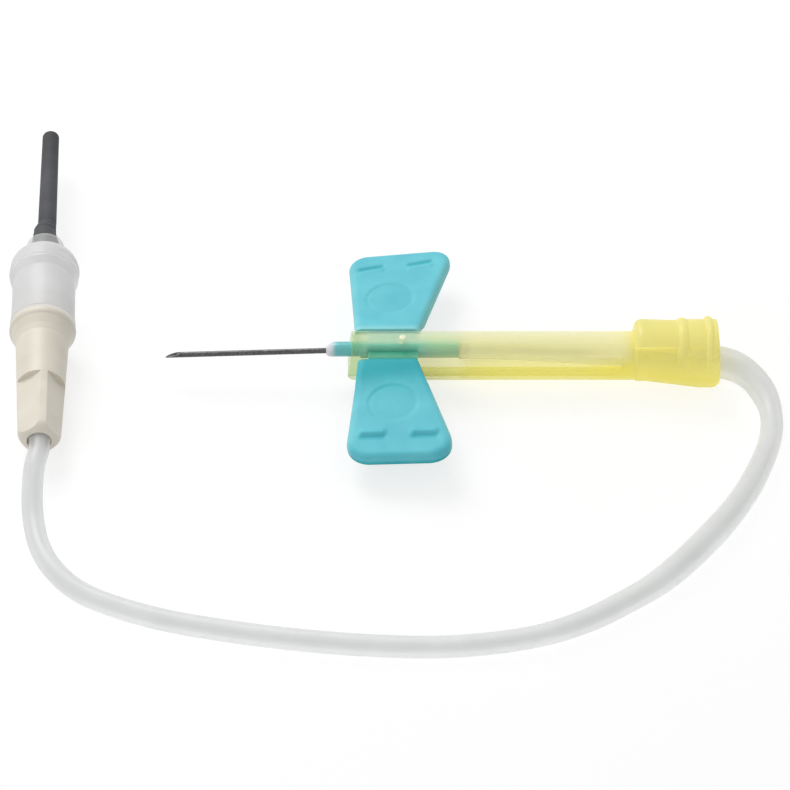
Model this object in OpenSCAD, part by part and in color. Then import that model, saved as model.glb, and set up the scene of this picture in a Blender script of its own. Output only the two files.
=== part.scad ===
// Winged blood collection needle with a sliding safety shield, flexible tubing
// and a luer adapter with a covered rear needle. Millimetres, +Z up.
// The needle points along -X, the tubing leaves at +X and the object lies on z = 0.
// The origin is below the middle of the needle and shield.

/* [Needle] */
// Length of bare needle from its point to the glue
needle_len = 19.05; // [12:0.05:32]
// Outer diameter of the needle
needle_d = 0.64; // [0.4:0.01:0.9]
// Diameter of the needle's bore
needle_bore_d = 0.34; // [0.2:0.01:0.36]
// Length of the slanted cut at the point
bevel_len = 1.8; // [1:0.1:3]
// Length of needle held inside the hub
needle_grip = 6; // [3:0.5:9]
// Length of the glue fillet in front of the hub
glue_len = 0.75; // [0.4:0.05:1.2]
// Angle by which the needle points down from the hub's axis
needle_tilt = 1.8; // [0:0.1:2]

/* [Hub] */
// Length of the hub from its nose to the tubing
hub_len = 14.1; // [12:0.1:18]
// Diameter of the hub
hub_d = 2.15; // [1.9:0.05:2.3]
// Diameter of the hub's nose
nose_d = 1.7; // [1.5:0.05:2.1]
// Length of the nose
nose_len = 2.6; // [1:0.1:3.4]
// Bore behind the needle
lumen_d = 1; // [0.7:0.05:1.4]
// Height of the hub's axis over the table, at the webs
hub_z = 4.65; // [4.3:0.05:4.7]
// Angle by which the hub points down
hub_pitch = 0.4; // [0:0.1:1]
// Distance from the nose to the front of the webs
web_from_nose = 3.7; // [3:0.1:5]
// Length of the webs that carry the wings
web_len = 5.7; // [4:0.1:7]
// Thickness of the webs
web_t = 0.8; // [0.6:0.05:0.9]

/* [Wings] */
// Distance from the hub's axis to the tip of a wing
wing_span = 17.4; // [14:0.1:20]
// Thickness of a wing
wing_t = 1.7; // [1.2:0.1:2]
// Distance from the hub's axis to the line about which a wing folds
fold_y = 3.4; // [3.4:0.05:4]
// Gap between a wing's round root and its seat in the web
fold_gap = 0.05; // [0.03:0.01:0.1]
// Angle by which a wing hangs down at rest
wing_droop = 2.5; // [0:0.5:6]
// Angle by which a wing's rear edge rises towards its tip
wing_twist = 4; // [0:0.5:5]
// Width of a wing at its root
root_w = 7.6; // [7:0.1:9]
// Width of a wing at its widest
tip_w = 12.9; // [10:0.1:14]
// Radius of the front corner of a wing's tip
front_tip_r = 2.3; // [0.8:0.1:2.5]
// Radius of the rear corner of a wing's tip
rear_tip_r = 2.8; // [1:0.1:3.2]
// Diameter of the shallow round panel on a wing
panel_d = 5.8; // [4:0.1:6.6]
// Depth of the groove around the round panel
panel_depth = 0.12; // [0.05:0.01:0.3]
// Length of a raised grip bar
bar_len = 3; // [2:0.1:4]
// Width of a raised grip bar
bar_w = 0.5; // [0.3:0.05:0.8]
// Height of a raised grip bar
bar_h = 0.25; // [0.1:0.05:0.5]

/* [Safety shield] */
// Outer diameter of the shield's barrel
barrel_d = 5.65; // [5.6:0.05:6.2]
// Wall of the barrel
barrel_wall = 0.42; // [0.36:0.01:0.44]
// Length of the whole shield
shield_len = 43.1; // [40:0.1:50]
// Length of the thick collar at the rear
collar_len = 10; // [8:0.1:10.5]
// Outer diameter of the collar
collar_d = 7.86; // [7.4:0.02:8.4]
// Wall of the collar
collar_wall = 0.65; // [0.5:0.05:0.9]
// Height of the collar's axis over the barrel's axis
collar_rise = 0.32; // [0.2:0.02:0.4]
// Travel of the shield over the needle
shield_travel = 23.2; // [15:0.1:23.4]
// Height of each slot for the webs
slot_h = 1.3; // [1.2:0.05:1.5]
// Gap between the ends of a slot and the webs
slot_gap = 0.15; // [0.1:0.05:0.4]
// Height of the rear grip rib
rib_h = 0.4; // [0.2:0.05:0.6]

/* [Tubing] */
// Outer diameter of the tubing
tube_d = 2.4; // [2:0.1:2.5]

/* [Luer hub] */
// Diameter of the luer hub's flange
flange_d = 7.75; // [7:0.05:8.2]
// Thickness of the flange
flange_t = 1.6; // [1.6:0.1:2.4]
// Length of the luer hub
luer_len = 18.7; // [18:0.1:24]
// Diameter of the luer hub behind the flange
luer_d = 6.1; // [5.6:0.1:6.6]
// Diameter of the luer hub at its tubing end
luer_end_d = 4.9; // [4.8:0.1:5.6]
// Distance across the finger flats, at their front
flats_w = 4.4; // [4.2:0.1:4.8]
// Depth of the socket that takes the tubing
socket_depth = 6; // [4:0.5:8]
// Diameter of the luer taper at its mouth
taper_d = 4.3; // [4:0.05:4.5]
// Depth of the luer taper below the flange
taper_len = 6.5; // [5:0.5:8]
// Length of the hub's mouth that stands inside the adapter's skirt
spigot_len = 0.6; // [0.4:0.1:2]
// Gap between the two luer tapers
taper_gap = 0.04; // [0.02:0.01:0.08]

/* [Luer adapter] */
// Diameter of the adapter at the luer hub
skirt_d = 7.4; // [7.2:0.1:7.8]
// Diameter over the adapter's thread
thread_d = 8.1; // [8:0.1:8.5]
// Length of the adapter up to the end of its dome
adapter_len = 11.8; // [11:0.1:14]
// Wall of the adapter's skirt
skirt_wall = 0.9; // [0.6:0.05:1.2]
// Diameter of the ring that seats the rubber sleeve
seat_d = 4.5; // [4.2:0.1:5]
// Length of the ring
seat_len = 2.6; // [2:0.1:3.4]
// Depth of the recess in the ring that takes the foot of the sleeve
recess_depth = 1.4; // [0.8:0.1:1.8]

/* [Rear needle and sleeve] */
// Outer diameter of the rear needle
rear_d = 0.7; // [0.5:0.05:0.9]
// Bore of the rear needle
rear_bore_d = 0.4; // [0.25:0.05:0.45]
// Length of the rubber sleeve
sleeve_len = 21.7; // [18:0.1:26]
// Diameter of the rubber sleeve
sleeve_d = 1.95; // [1.8:0.05:2.6]
// Diameter of the flared foot of the sleeve
sleeve_foot_d = 3.3; // [2.9:0.1:3.6]

/* [Hidden] */
$fn = 64;
eps = 0.01;
// Cutters run this far past what they cut
past = 1;

// Colours
steel = "slategray";
glue = "gainsboro";
pale_blue = [0.42, 0.78, 0.84];
yellow = [0.92, 0.89, 0.5, 0.6];
cream = [0.92, 0.89, 0.82];
frosted = [0.88, 0.88, 0.87, 0.7];
clear_tube = [0.9, 0.91, 0.92, 0.8];
rubber = [0.3, 0.3, 0.32];

// Stations along X. The shield's front stands a fixed way behind the nose.
shield_from_nose = 1.2;
span_x = needle_len + glue_len + shield_from_nose + shield_len;
tip_x = -span_x / 2;
nose_x = tip_x + needle_len + glue_len;
web_x = nose_x + web_from_nose;
shield_x = nose_x + shield_from_nose;
shield_end_x = shield_x + shield_len;
collar_x = shield_end_x - collar_len;
// The hub tilts about this point, which lies in the middle of the webs
hub_x = web_x + web_len / 2;
nose_round = 0.12;
glue_mid_d = 1.4;
glue_lip = 0.22;

// Shield
collar_r = collar_d / 2;
barrel_r = barrel_d / 2;
bore_r = barrel_r - barrel_wall;
collar_bore_r = collar_r - collar_wall;
collar_z = collar_r;
barrel_z = collar_z - collar_rise;
slot_z = hub_z;
slot_x = web_x - slot_gap;
slot_len = web_len + shield_travel + 2 * slot_gap;
// The collar's front stands this much proud of the barrel at the bottom, inside and out
flush_step = 0.05;
flush_r = barrel_r + collar_rise + flush_step;
flush_bore_r = bore_r + collar_rise + flush_step;
front_slant = 6.8;
rear_slant = 3.4;
lip_r = 0.8;
// The thumb step's rounding, and half the angle that it spans round the top
step_r = 0.9;
step_half = 38;
heel_r = 1;
waist_h = 0.12;
crown_h = 0.05;
// Distance of the grip ribs from the shield's rear end, their radii and height
rib_back = 1.4;
rib_r = 0.5;
low_rib_back = 4.4;
low_rib_r = 0.9;
low_rib_h = 0.2;
rib_half = 75;
// The gentle ramp under the collar
ramp_x = 1.5;
ramp_len = 6;
ramp_chamfer = 0.3;
// Small round gate mark on top of the barrel
gate_d = 0.7;
gate_h = 0.12;
gate_back = 6.2;
gate_turn = 13;

// Wings, in a frame whose X axis is the hinge line and whose origin is at the webs' middle
wing_l = (wing_span - fold_y) / cos(wing_droop);
fold_r = web_t / 2;
root_taper = 1.2;
root_shift = 0.25;
tip_shift = 1.05;
edge_r = 0.5;
layer_t = 0.05;
root_r = 0.9;
panel_x = 0;
panel_y = 5.6;
bar_x = 0.65;
bar_y = 10.6;
bar_pitch = 5.85;
bar_sink = 0.2;
groove_w = 0.3;
groove_gap = 0.04;
groove_depth = 0.3;
tip_slant = 2;

// The luer axis runs nearly across the shield. The luer hub's flange rests on the table.
luer_x = -46.6;
luer_y = 4.55;
luer_z = flange_d / 2 + 0.05;
luer_yaw = 4;
luer_tilt = 1.5;
luer_way = [-sin(luer_yaw) * cos(luer_tilt), cos(luer_yaw) * cos(luer_tilt), sin(luer_tilt)];
luer_taper = 0.06;
neck_len = 1.7;
bead_r = 0.8;
neck_rise = 0.2;
end_r = 1.2;
mouth_d = 2.8;
mouth_depth = 0.8;
spigot_r = 2.75;
flats_start = 10;
flats_turn = 58;
flats_taper = 1.5;
duct_d = 1;

// Adapter
dome_len = 1.9;
thread_s = 7.2;
thread_rise = 1;
rim_flare = 0.12;
rim_len = 1.8;
rim_chamfer = 0.1;
male_short = 0.5;
adapter_roof = 8;
root_depth = 0.6;
nipple_d = 1.9;
nipple_len = 2.6;
cup_d = 1.3;
cup_depth = 0.8;
recess_gap = 0.1;
ring_r = 0.5;
ring_top = adapter_len + seat_len;
// Where the sleeve stands in the ring's recess, and the nipple's end inside it
seat_s = ring_top - recess_depth;
nipple_top = seat_s + nipple_len;

// Rear needle and sleeve
rear_grip = 3.5;
rear_tip_gap = 2.2;
rear_tip_room = 0.2;
sleeve_bore_gap = 0.05;
sleeve_tip_r = 0.5;
foot_neck_d = 2.9;
foot_neck = 3.6;
foot_len = 4.8;

// The tubing's route, from the hub through the shield, along the table, to the luer hub
route = [
    [7, 0, 4.6], [11, 0, 4.4], [15, 0, 4.1], [19, 0, 3.8], [23, 0, 3.5], [26, 0.1, 3.2],
    [29, 0.3, 2.9], [32, 0.3, 2.6], [34.3, -0.5, 2.2], [36.1, -2.3, 1.8],
    [37.2, -5, 1.4], [37.5, -8, 1.2], [37, -11.5, 1.2], [35.7, -15.3, 1.2], [33.5, -19.6, 1.2],
    [30.4, -24.4, 1.2], [26.5, -29.3, 1.2], [22.8, -33.3, 1.2], [19, -36.5, 1.2], [15, -39, 1.2],
    [10.5, -40.9, 1.2], [5.3, -42.1, 1.2], [-0.5, -42.7, 1.2], [-6.5, -42.6, 1.2],
    [-12.5, -42.1, 1.2], [-18.5, -41.3, 1.2], [-24.5, -40.2, 1.2], [-30, -38.9, 1.2],
    [-35, -37.1, 1.2], [-39, -35, 1.2], [-42, -32, 1.2], [-44, -28.5, 1.3], [-45.1, -24.5, 1.6],
    [-45.5, -21, 2.3], [-45.5, -17.8, 3.1]
];

// Helpers
function unit(v) = v / norm(v);

// Points of a closed outline with each corner rounded, moved inwards by inset
function rounded(points, radii, inset, steps = 5) = [
    for (i = [0 : len(points) - 1])
        let (
            n = len(points),
            b = points[i],
            u = unit(points[(i + n - 1) % n] - b),
            v = unit(points[(i + 1) % n] - b),
            half = acos(u * v) / 2,
            mid = unit(u + v),
            r = max(radii[i] - inset, 0.05),
            centre = b + mid * ((r + inset) / sin(half)),
            turn = 90 - half,
            out = atan2(-mid[1], -mid[0]),
            side = sign(u[0] * v[1] - u[1] * v[0])
        )
        for (k = [0 : steps])
            centre + r * [cos(out + side * turn * (1 - 2 * k / steps)),
                          sin(out + side * turn * (1 - 2 * k / steps))]
];

// A solid of revolution about X, from a profile of [radius, distance along X]
module turned_x(x, profile, sweep = 360) {
    translate([x, 0, 0])
        rotate([0, 90, 0])
            rotate([0, 0, 180 - sweep / 2])
                rotate_extrude(angle = sweep)
                    polygon(profile);
}

module rod_x(x, length, d) {
    translate([x, 0, 0])
        rotate([0, 90, 0])
            cylinder(h = length, d = d);
}

module in_hub() {
    translate([hub_x, 0, hub_z])
        rotate([0, -hub_pitch, 0])
            translate([-hub_x, 0, 0])
                children();
}

// The needle tilts about its rear end, which lies on the hub's axis
module in_needle() {
    translate([nose_x + needle_grip, 0, 0])
        rotate([0, -needle_tilt, 0])
            translate([-nose_x - needle_grip, 0, 0])
                children();
}

// The luer axis is local Z, and the adapter's end face lies at local zero
module in_luer() {
    translate([luer_x, luer_y, luer_z])
        rotate([luer_tilt - 90, 0, luer_yaw])
            children();
}

// Needle: a bevelled steel tube, its bevel facing up
module needle_cannula() {
    bevel_angle = atan(needle_d / bevel_len);
    needle_all = needle_len + glue_len + needle_grip;
    color(steel) in_hub() in_needle() difference() {
        rod_x(tip_x, needle_all, needle_d);
        rod_x(tip_x - past, needle_all + 2 * past, needle_bore_d);
        translate([tip_x, -needle_d, -needle_d / 2])
            rotate([0, -bevel_angle, 0])
                translate([-bevel_len, 0, 0])
                    cube([3 * bevel_len, 2 * needle_d, 2 * needle_d]);
    }
}

// Glue fillet between the needle and the nose
module needle_adhesive() {
    color(glue) in_hub() difference() {
        hull() {
            rod_x(nose_x - eps, eps, nose_d - 2 * nose_round);
            in_needle() {
                rod_x(nose_x - glue_len / 2, eps, glue_mid_d);
                rod_x(nose_x - glue_len, eps, needle_d + 2 * glue_lip);
            }
        }
        in_needle() rod_x(nose_x - glue_len - past, glue_len + 2 * past, needle_d);
    }
}

// Hub with the two thin webs that pass through the shield's slots
module hub() {
    nose_r = nose_d / 2;
    hub_r = hub_d / 2;
    hub_profile = [
        [0, 0], [nose_r - nose_round, 0], [nose_r, nose_round], [nose_r, nose_len],
        [hub_r, nose_len + hub_r - nose_r], [hub_r, hub_len], [0, hub_len]
    ];
    web_reach = fold_y - fold_r - fold_gap;
    color(pale_blue) in_hub() difference() {
        union() {
            turned_x(nose_x, hub_profile);
            translate([web_x, -web_reach, -web_t / 2])
                cube([web_len, 2 * web_reach, web_t]);
        }
        in_needle() rod_x(nose_x - past, needle_grip + past, needle_d);
        rod_x(nose_x + needle_grip - eps, hub_len, lumen_d);
    }
}

// One layer of a wing's outline, in the hinge's frame
module wing_layer(z, inset) {
    front_root = -root_w / 2 - root_shift;
    rear_root = root_w / 2 - root_shift;
    front_tip = -tip_w / 2 + tip_shift;
    rear_tip = tip_w / 2 + tip_shift;
    tip_rise = tip_w / 2 * tan(tip_slant);
    corners = [
        [front_root, root_taper], [rear_root, root_taper],
        [rear_tip, wing_l + tip_rise], [front_tip, wing_l - tip_rise]
    ];
    translate([0, 0, z])
        linear_extrude(height = layer_t)
            polygon(rounded(corners, [root_r, root_r, rear_tip_r, front_tip_r], inset));
}

// A wing that reaches towards +Y from its hinge line, in the twisted frame of its plate
module wing_body() {
    top = fold_r;
    bottom = fold_r - wing_t;
    hull() {
        rotate([0, wing_twist, 0])
            translate([-root_w / 2 - root_shift, 0, 0])
                rotate([0, 90, 0])
                    cylinder(h = root_w, r = fold_r, $fn = 24);
        for (a = [0 : 30 : 90]) {
            wing_layer(top - edge_r + edge_r * sin(a) - layer_t, edge_r - edge_r * cos(a));
            wing_layer(bottom + edge_r - edge_r * sin(a), edge_r - edge_r * cos(a));
        }
    }
}

// A raised bar with round ends
module grip_bar(x) {
    translate([x, bar_y, fold_r - bar_sink]) {
        translate([-(bar_len - bar_w) / 2, -bar_w / 2, 0])
            cube([bar_len - bar_w, bar_w, bar_h + bar_sink]);
        for (side = [-1, 1])
            translate([side * (bar_len - bar_w) / 2, 0, 0])
                cylinder(h = bar_h + bar_sink, d = bar_w);
    }
}

module wing() {
    bar_places = [bar_x - bar_pitch / 2, bar_x + bar_pitch / 2];
    groove_len = bar_len - bar_w;
    difference() {
        union() {
            wing_body();
            for (x = bar_places)
                grip_bar(x);
        }
        translate([panel_x, panel_y, fold_r - panel_depth])
            difference() {
                cylinder(h = past, d = panel_d);
                translate([0, 0, -eps])
                    cylinder(h = 2 * past, d = panel_d - 2 * groove_w);
            }
        for (x = bar_places)
            translate([x - groove_len / 2, bar_y + bar_w / 2 + groove_gap, fold_r - groove_depth])
                cube([groove_len, groove_w, past]);
    }
}

// The two wings mirror each other; the near one is the right one
module wing_at_rest() {
    translate([hub_x, fold_y, 0])
        rotate([-wing_droop, 0, 0])
            rotate([0, -wing_twist, 0])
                wing();
}

module wing_left() {
    color(pale_blue) in_hub() wing_at_rest();
}

module wing_right() {
    color(pale_blue) in_hub() mirror([0, 1, 0]) wing_at_rest();
}

// Round barrel of the shield, with a rounded front lip
module barrel() {
    lip = [for (a = [90 : -15 : 0]) [barrel_r - lip_r + lip_r * cos(a), lip_r - lip_r * sin(a)]];
    translate([0, 0, barrel_z])
        turned_x(shield_x, concat([[0, 0]], lip, [[barrel_r, shield_len], [0, shield_len]]));
}

// Collar: a gentle ramp all round, and a steep thumb step on top
module collar() {
    heel = [for (a = [0 : 15 : 90]) [collar_r - heel_r + heel_r * cos(a), collar_len - heel_r + heel_r * sin(a)]];
    crown_r = collar_r + crown_h;
    step = [for (a = [90 : -15 : 0]) [crown_r - step_r + step_r * cos(a), step_r - step_r * sin(a)]];
    translate([0, 0, collar_z]) {
        turned_x(collar_x, concat(
            [[0, 0], [flush_r - ramp_chamfer, 0], [flush_r, ramp_chamfer], [flush_r, ramp_x],
             [collar_r, ramp_x + ramp_len]],
            heel, [[0, collar_len]]));
        turned_x(collar_x, concat(
            [[0, 0]], step,
            [[crown_r - waist_h, collar_len - low_rib_back - low_rib_r],
             [crown_r, collar_len - low_rib_back + low_rib_r],
             [crown_r, collar_len], [0, collar_len]]), 2 * step_half);
        rib(collar_len - rib_back, rib_r, rib_h);
        rib(collar_len - low_rib_back, low_rib_r, low_rib_h);
    }
}

// A grip rib over the top of the collar, as far from its front as along says
module rib(along, r, h) {
    translate([collar_x, 0, 0])
        rotate([0, 90, 0])
            rotate([0, 0, 180 - rib_half])
                rotate_extrude(angle = 2 * rib_half)
                    translate([collar_r - r + h, along])
                        circle(r = r);
}

module safety_shield() {
    color(yellow) difference() {
        union() {
            barrel();
            collar();
            translate([shield_x + gate_back, 0, barrel_z])
                rotate([gate_turn, 0, 0])
                    cylinder(h = barrel_r + gate_h, d = gate_d);
        }
        translate([0, 0, barrel_z])
            rod_x(shield_x - past, shield_len + 2 * past, 2 * bore_r);
        translate([0, 0, collar_z])
            turned_x(collar_x, [
                [0, ramp_x], [flush_bore_r, ramp_x], [collar_bore_r, ramp_x + ramp_len],
                [collar_bore_r, collar_len + past], [0, collar_len + past]
            ]);
        translate([slot_x, -collar_d, slot_z - slot_h / 2])
            cube([slot_len, 2 * collar_d, slot_h]);
        translate([shield_x, -collar_d, barrel_z - barrel_r])
            rotate([0, front_slant, 0])
                translate([-5, 0, -1])
                    cube([5, 2 * collar_d, 3 * collar_d]);
        translate([shield_end_x, -collar_d, 0])
            rotate([0, -rear_slant, 0])
                translate([0, 0, -1])
                    cube([5, 2 * collar_d, 3 * collar_d]);
    }
}

// Tubing: one straight run of eight-sided rings along the route
function side_of(t) = unit([t[1], -t[0], 0]);
function ring(p, t) =
    let (s = side_of(t), u = cross(s, t))
    [for (a = [0 : 45 : 315]) p + tube_d / 2 * (cos(a) * s + sin(a) * u)];
function heading(path, i) =
    i == 0 ? unit(path[1] - path[0]) :
    i == len(path) - 1 ? unit(path[i] - path[i - 1]) :
    unit(unit(path[i] - path[i - 1]) + unit(path[i + 1] - path[i]));

module tubing() {
    hub_rear = nose_x + hub_len - hub_x;
    hub_way = [cos(hub_pitch), 0, sin(hub_pitch)];
    hub_end = [hub_x, 0, hub_z] + hub_rear * hub_way;
    luer_end = [luer_x, luer_y, luer_z] - luer_len * luer_way;
    path = concat([hub_end, hub_end + 2 * hub_way], route,
        [luer_end - luer_way, luer_end + luer_way, luer_end + socket_depth * luer_way]);
    rings = len(path);
    points = [for (i = [0 : rings - 1]) each ring(path[i], heading(path, i))];
    walls = [
        for (i = [0 : rings - 2], k = [0 : 7])
            let (a = 8 * i + k, b = 8 * i + (k + 1) % 8)
            each [[a, b, b + 8], [a, b + 8, a + 8]]
    ];
    ends = [[for (k = [7 : -1 : 0]) k], [for (k = [0 : 7]) 8 * (rings - 1) + k]];
    color(clear_tube) polyhedron(points = points, faces = concat(walls, ends));
}

// Female luer hub, with finger flats and a socket for the tubing
module luer_hub() {
    flange_r = flange_d / 2;
    luer_r = luer_d / 2;
    luer_end_r = luer_end_d / 2;
    bead = [for (a = [90 : -15 : -45])
        [flange_r - bead_r + bead_r * cos(a), -bead_r + bead_r * sin(a)]];
    foot = [for (a = [0 : -15 : -90])
        [luer_end_r - end_r + end_r * cos(a), -luer_len + end_r + end_r * sin(a)]];
    profile = concat([[0, spigot_len], [spigot_r, spigot_len], [spigot_r, 0]], bead,
        [[luer_r + neck_rise, -flange_t - neck_len / 2], [luer_r, -flange_t - neck_len]],
        foot, [[0, -luer_len]]);
    color(cream) in_luer() difference() {
        rotate_extrude()
            polygon(profile);
        rotate([0, 0, flats_turn])
            for (a = [0 : 90 : 270])
                rotate([0, 0, a])
                    translate([flats_w / 2, 0, -flats_start])
                        rotate([0, flats_taper, 0])
                            translate([0, -luer_d, -luer_len])
                                cube([luer_d, 2 * luer_d, luer_len]);
        translate([0, 0, -taper_len])
            cylinder(h = taper_len + spigot_len + eps,
                d1 = taper_d - luer_taper * taper_len, d2 = taper_d + luer_taper * spigot_len);
        translate([0, 0, -luer_len - past])
            cylinder(h = luer_len + past, d = duct_d);
        translate([0, 0, -luer_len - past])
            cylinder(h = socket_depth + past, d = tube_d);
        translate([0, 0, -luer_len - past])
            cylinder(h = mouth_depth + past, d = mouth_d);
    }
}

// Luer adapter: a clear skirt that widens to a threaded dome, and a ring round a nipple
module luer_adapter() {
    skirt_r = skirt_d / 2;
    thread_r = thread_d / 2;
    seat_r = seat_d / 2;
    dome_s = adapter_len - dome_len;
    dome = [for (a = [0 : 15 : 90])
        [thread_r - dome_len + dome_len * cos(a), dome_s + dome_len * sin(a)]];
    ring_edge = [for (a = [0 : 30 : 90])
        [seat_r - ring_r + ring_r * cos(a), ring_top - ring_r + ring_r * sin(a)]];
    outside = concat(
        [[0, 0], [skirt_r + rim_flare - rim_chamfer, 0], [skirt_r + rim_flare, rim_chamfer], [skirt_r, rim_len],
         [skirt_r, thread_s], [thread_r, thread_s + thread_rise]],
        dome, [[seat_r, adapter_len]], ring_edge, [[0, ring_top]]);
    male_len = taper_len - male_short;
    male_tip_d = taper_d - luer_taper * male_len - 2 * taper_gap;
    male_root_d = taper_d + luer_taper * (adapter_roof + root_depth) - 2 * taper_gap;
    color(frosted) in_luer() difference() {
        union() {
            difference() {
                rotate_extrude()
                    polygon(outside);
                translate([0, 0, -past])
                    cylinder(h = adapter_roof + past, r = skirt_r - skirt_wall);
                translate([0, 0, seat_s])
                    cylinder(h = recess_depth + past, d = sleeve_foot_d + 2 * recess_gap);
            }
            translate([0, 0, -male_len])
                cylinder(h = male_len + adapter_roof + root_depth, d1 = male_tip_d, d2 = male_root_d);
            translate([0, 0, seat_s - root_depth])
                cylinder(h = nipple_len + root_depth, d = nipple_d);
        }
        translate([0, 0, -taper_len])
            cylinder(h = taper_len + nipple_top + past, d = rear_d);
        translate([0, 0, nipple_top - cup_depth])
            cylinder(h = cup_depth + past, d = cup_d);
    }
}

// Needle under the rubber sleeve, pointing away from the luer hub
module rear_cannula() {
    start = nipple_top - rear_grip;
    finish = seat_s + sleeve_len - rear_tip_gap;
    bevel_angle = atan(rear_d / bevel_len);
    color(steel) in_luer() difference() {
        translate([0, 0, start])
            cylinder(h = finish - start, d = rear_d);
        translate([0, 0, start - past])
            cylinder(h = finish - start + 2 * past, d = rear_bore_d);
        translate([-rear_d / 2, -rear_d, finish])
            rotate([0, 90 - bevel_angle, 0])
                translate([-bevel_len, 0, 0])
                    cube([3 * bevel_len, 2 * rear_d, 2 * rear_d]);
    }
}

// Glue in the cup at the nipple's end
module rear_adhesive() {
    color(glue) in_luer() difference() {
        translate([0, 0, nipple_top - cup_depth])
            cylinder(h = cup_depth, d = cup_d);
        translate([0, 0, nipple_top - past])
            cylinder(h = 2 * past, d = rear_d);
    }
}

// Rubber sleeve over the rear needle, its foot pushed over the nipple into the recess
module rubber_sleeve() {
    sleeve_r = sleeve_d / 2;
    foot_r = sleeve_foot_d / 2;
    bore_len = sleeve_len - rear_tip_gap + rear_tip_room;
    tip = [for (a = [0 : 15 : 90])
        [sleeve_r - sleeve_tip_r + sleeve_tip_r * cos(a), sleeve_len - sleeve_tip_r + sleeve_tip_r * sin(a)]];
    profile = concat(
        [[0, 0], [foot_r, 0], [foot_r, recess_depth], [foot_neck_d / 2, foot_neck], [sleeve_r, foot_len]],
        tip, [[0, sleeve_len]]);
    color(rubber) in_luer() translate([0, 0, seat_s]) difference() {
        rotate_extrude()
            polygon(profile);
        translate([0, 0, -past])
            cylinder(h = bore_len + past, d = rear_d + 2 * sleeve_bore_gap);
        translate([0, 0, -past])
            cylinder(h = nipple_len + past, d = nipple_d);
    }
}

needle_cannula();
needle_adhesive();
hub();
wing_left();
wing_right();
safety_shield();
tubing();
luer_hub();
luer_adapter();
rear_cannula();
rear_adhesive();
rubber_sleeve();
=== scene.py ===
# Winged blood collection needle: the finishes, the soft wings and the clear tubing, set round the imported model.
import math
import bpy
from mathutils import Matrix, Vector


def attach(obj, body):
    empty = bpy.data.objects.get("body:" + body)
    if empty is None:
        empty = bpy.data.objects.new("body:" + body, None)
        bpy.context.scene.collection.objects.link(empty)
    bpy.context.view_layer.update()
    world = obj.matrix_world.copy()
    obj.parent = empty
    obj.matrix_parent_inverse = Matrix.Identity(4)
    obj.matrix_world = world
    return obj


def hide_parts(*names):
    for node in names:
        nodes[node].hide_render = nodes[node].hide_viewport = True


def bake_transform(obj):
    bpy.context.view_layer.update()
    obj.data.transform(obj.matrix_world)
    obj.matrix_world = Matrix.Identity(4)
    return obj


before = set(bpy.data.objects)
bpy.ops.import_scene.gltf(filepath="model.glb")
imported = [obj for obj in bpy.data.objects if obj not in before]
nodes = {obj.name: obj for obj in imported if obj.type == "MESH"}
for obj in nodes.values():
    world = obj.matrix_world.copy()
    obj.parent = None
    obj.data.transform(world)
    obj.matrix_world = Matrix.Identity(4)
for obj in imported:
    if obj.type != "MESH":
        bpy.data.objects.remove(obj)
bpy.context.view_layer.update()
MM = 0.001


# Camera, at the photograph's viewing angle
TARGET = Vector((-5.47, -7.1, 4.0)) * MM
CAMERA_DISTANCE = 310 * MM
CAMERA_ELEVATION = math.radians(43.2)
SENSOR_WIDTH = 36.0
FOCAL_LENGTH = 124.3


def make_camera():
    data = bpy.data.cameras.new("camera")
    data.sensor_width = SENSOR_WIDTH
    data.lens = FOCAL_LENGTH
    data.clip_start = 0.01
    data.clip_end = 10
    camera = bpy.data.objects.new("camera", data)
    bpy.context.scene.collection.objects.link(camera)
    back = Vector((0, -math.cos(CAMERA_ELEVATION), math.sin(CAMERA_ELEVATION)))
    camera.location = TARGET + CAMERA_DISTANCE * back
    camera.rotation_euler = (math.pi / 2 - CAMERA_ELEVATION, 0, 0)
    bpy.context.scene.camera = camera


make_camera()


# Small helpers for meshes
def mesh_object(name, points, faces, smooth=True):
    mesh = bpy.data.meshes.new(name)
    mesh.from_pydata([tuple(p) for p in points], [], faces)
    mesh.validate()
    mesh.polygons.foreach_set("use_smooth", [smooth] * len(mesh.polygons))
    mesh.update()
    piece = bpy.data.objects.new(name, mesh)
    bpy.context.scene.collection.objects.link(piece)
    return piece


def smoothstep(low, high, x):
    t = min(max((x - low) / (high - low), 0), 1)
    return t * t * (3 - 2 * t)


def catmull_rom(points, step):
    """Points about a step apart on a smooth curve through all the given ones."""
    fine = []
    extended = [2 * points[0] - points[1], *points, 2 * points[-1] - points[-2]]
    for p0, p1, p2, p3 in zip(extended, extended[1:], extended[2:], extended[3:]):
        count = max(1, round((p2 - p1).length / step))
        for i in range(count):
            t = i / count
            fine.append(0.5 * (2 * p1 + (p2 - p0) * t + (2 * p0 - 5 * p1 + 4 * p2 - p3) * t ** 2
                               + (3 * p1 - p0 - 3 * p2 + p3) * t ** 3))
    return fine + [points[-1].copy()]


def ring_frames(line):
    """Two directions across the line at each of its points, carried along without twisting."""
    side = Vector((0, 1, 0))
    frames = []
    for i, point in enumerate(line):
        along = (line[min(i + 1, len(line) - 1)] - line[max(i - 1, 0)]).normalized()
        side = (side - along * side.dot(along)).normalized()
        frames.append((side.copy(), along.cross(side)))
    return frames


# Materials
def new_material(name):
    material = bpy.data.materials.new(name)
    material.use_nodes = True
    tree = material.node_tree
    shader = tree.nodes["Principled BSDF"]
    return material, tree, shader


def noise(tree, size, detail=2.0):
    """Noise whose features are about size metres across."""
    place = tree.nodes.new("ShaderNodeTexCoord")
    texture = tree.nodes.new("ShaderNodeTexNoise")
    texture.inputs["Scale"].default_value = 1 / size
    texture.inputs["Detail"].default_value = detail
    tree.links.new(place.outputs["Object"], texture.inputs["Vector"])
    return texture.outputs["Fac"]


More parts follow.
